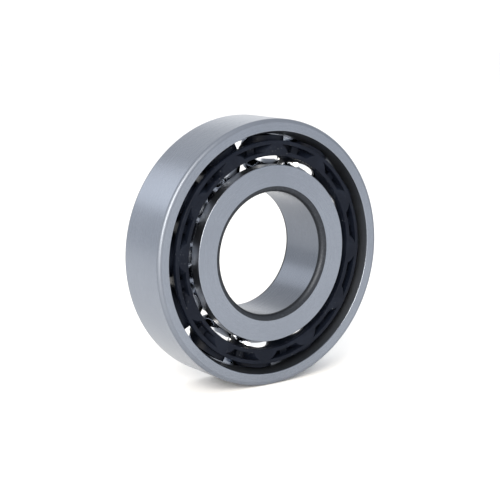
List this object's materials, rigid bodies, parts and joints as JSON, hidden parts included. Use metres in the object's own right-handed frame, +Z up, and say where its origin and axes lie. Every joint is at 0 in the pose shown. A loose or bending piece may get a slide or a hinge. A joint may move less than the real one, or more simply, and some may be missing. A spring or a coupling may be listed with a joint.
{
  "type": "angular contact bearing",
  "caption": "Open single-row angular contact ball bearing that carries radial load and one-way thrust; two steel rings, a row of balls and a moulded black cage.",
  "frame": {"origin": "the bearing's centre: on its axis, midway between the two side faces", "axes": "+Y along the bearing's axis, from the front face (counterbored outer ring, wide inner-ring face) to the back face; +Z up; +X completes the right-handed frame"},
  "size_m": [0.13, 0.031, 0.13],
  "materials": {
    "ring_steel": "ground bearing steel, satin faces with fine circular grinding marks",
    "ball_steel": "lapped and polished bearing steel",
    "cage_polyamide": "black glass-fibre-filled polyamide, as moulded, semi-matt"
  },
  "bodies": {
    "outer_ring": {"outer_ring": "ring_steel"},
    "inner_ring": {"inner_ring": "ring_steel"},
    "cage": {"cage": "cage_polyamide"},
    "ball_01": {"ball_01": "ball_steel"},
    "ball_02": {"ball_02": "ball_steel"},
    "ball_03": {"ball_03": "ball_steel"},
    "ball_04": {"ball_04": "ball_steel"},
    "ball_05": {"ball_05": "ball_steel"},
    "ball_06": {"ball_06": "ball_steel"},
    "ball_07": {"ball_07": "ball_steel"},
    "ball_08": {"ball_08": "ball_steel"},
    "ball_09": {"ball_09": "ball_steel"},
    "ball_10": {"ball_10": "ball_steel"},
    "ball_11": {"ball_11": "ball_steel"},
    "ball_12": {"ball_12": "ball_steel"}
  },
  "joints": [
    {"name": "inner_spin", "type": "hinge", "parent": "outer_ring", "child": "inner_ring", "pos_m": [0, 0, 0], "axis": [0, 1, 0], "continuous": true},
    {"name": "cage_spin", "type": "hinge", "parent": "outer_ring", "child": "cage", "pos_m": [0, 0, 0], "axis": [0, 1, 0], "continuous": true},
    {"name": "ball_01_spin", "type": "hinge", "parent": "cage", "child": "ball_01", "pos_m": [0.0474, 0, -0.00307], "axis": [-0.6414, 0.766, 0.0415], "continuous": true},
    {"name": "ball_02_spin", "type": "hinge", "parent": "cage", "child": "ball_02", "pos_m": [0.04258, 0, 0.02105], "axis": [-0.5763, 0.766, -0.2848], "continuous": true},
    {"name": "ball_03_spin", "type": "hinge", "parent": "cage", "child": "ball_03", "pos_m": [0.02636, 0, 0.03952], "axis": [-0.3566, 0.766, -0.5348], "continuous": true},
    {"name": "ball_04_spin", "type": "hinge", "parent": "cage", "child": "ball_04", "pos_m": [0.00307, 0, 0.0474], "axis": [-0.0415, 0.766, -0.6414], "continuous": true},
    {"name": "ball_05_spin", "type": "hinge", "parent": "cage", "child": "ball_05", "pos_m": [-0.02105, 0, 0.04258], "axis": [0.2848, 0.766, -0.5763], "continuous": true},
    {"name": "ball_06_spin", "type": "hinge", "parent": "cage", "child": "ball_06", "pos_m": [-0.03952, 0, 0.02636], "axis": [0.5348, 0.766, -0.3566], "continuous": true},
    {"name": "ball_07_spin", "type": "hinge", "parent": "cage", "child": "ball_07", "pos_m": [-0.0474, 0, 0.00307], "axis": [0.6414, 0.766, -0.0415], "continuous": true},
    {"name": "ball_08_spin", "type": "hinge", "parent": "cage", "child": "ball_08", "pos_m": [-0.04258, 0, -0.02105], "axis": [0.5763, 0.766, 0.2848], "continuous": true},
    {"name": "ball_09_spin", "type": "hinge", "parent": "cage", "child": "ball_09", "pos_m": [-0.02636, 0, -0.03952], "axis": [0.3566, 0.766, 0.5348], "continuous": true},
    {"name": "ball_10_spin", "type": "hinge", "parent": "cage", "child": "ball_10", "pos_m": [-0.00307, 0, -0.0474], "axis": [0.0415, 0.766, 0.6414], "continuous": true},
    {"name": "ball_11_spin", "type": "hinge", "parent": "cage", "child": "ball_11", "pos_m": [0.02105, 0, -0.04258], "axis": [-0.2848, 0.766, 0.5763], "continuous": true},
    {"name": "ball_12_spin", "type": "hinge", "parent": "cage", "child": "ball_12", "pos_m": [0.03952, 0, -0.02636], "axis": [-0.5348, 0.766, 0.3566], "continuous": true}
  ],
  "couplings": [
    {"joint": "cage_spin", "follows": "inner_spin", "ratio": 0.41679},
    {"joint": "ball_01_spin", "follows": "inner_spin", "ratio": -2.2378},
    {"joint": "ball_02_spin", "follows": "inner_spin", "ratio": -2.2378},
    {"joint": "ball_03_spin", "follows": "inner_spin", "ratio": -2.2378},
    {"joint": "ball_04_spin", "follows": "inner_spin", "ratio": -2.2378},
    {"joint": "ball_05_spin", "follows": "inner_spin", "ratio": -2.2378},
    {"joint": "ball_06_spin", "follows": "inner_spin", "ratio": -2.2378},
    {"joint": "ball_07_spin", "follows": "inner_spin", "ratio": -2.2378},
    {"joint": "ball_08_spin", "follows": "inner_spin", "ratio": -2.2378},
    {"joint": "ball_09_spin", "follows": "inner_spin", "ratio": -2.2378},
    {"joint": "ball_10_spin", "follows": "inner_spin", "ratio": -2.2378},
    {"joint": "ball_11_spin", "follows": "inner_spin", "ratio": -2.2378},
    {"joint": "ball_12_spin", "follows": "inner_spin", "ratio": -2.2378}
  ]
}
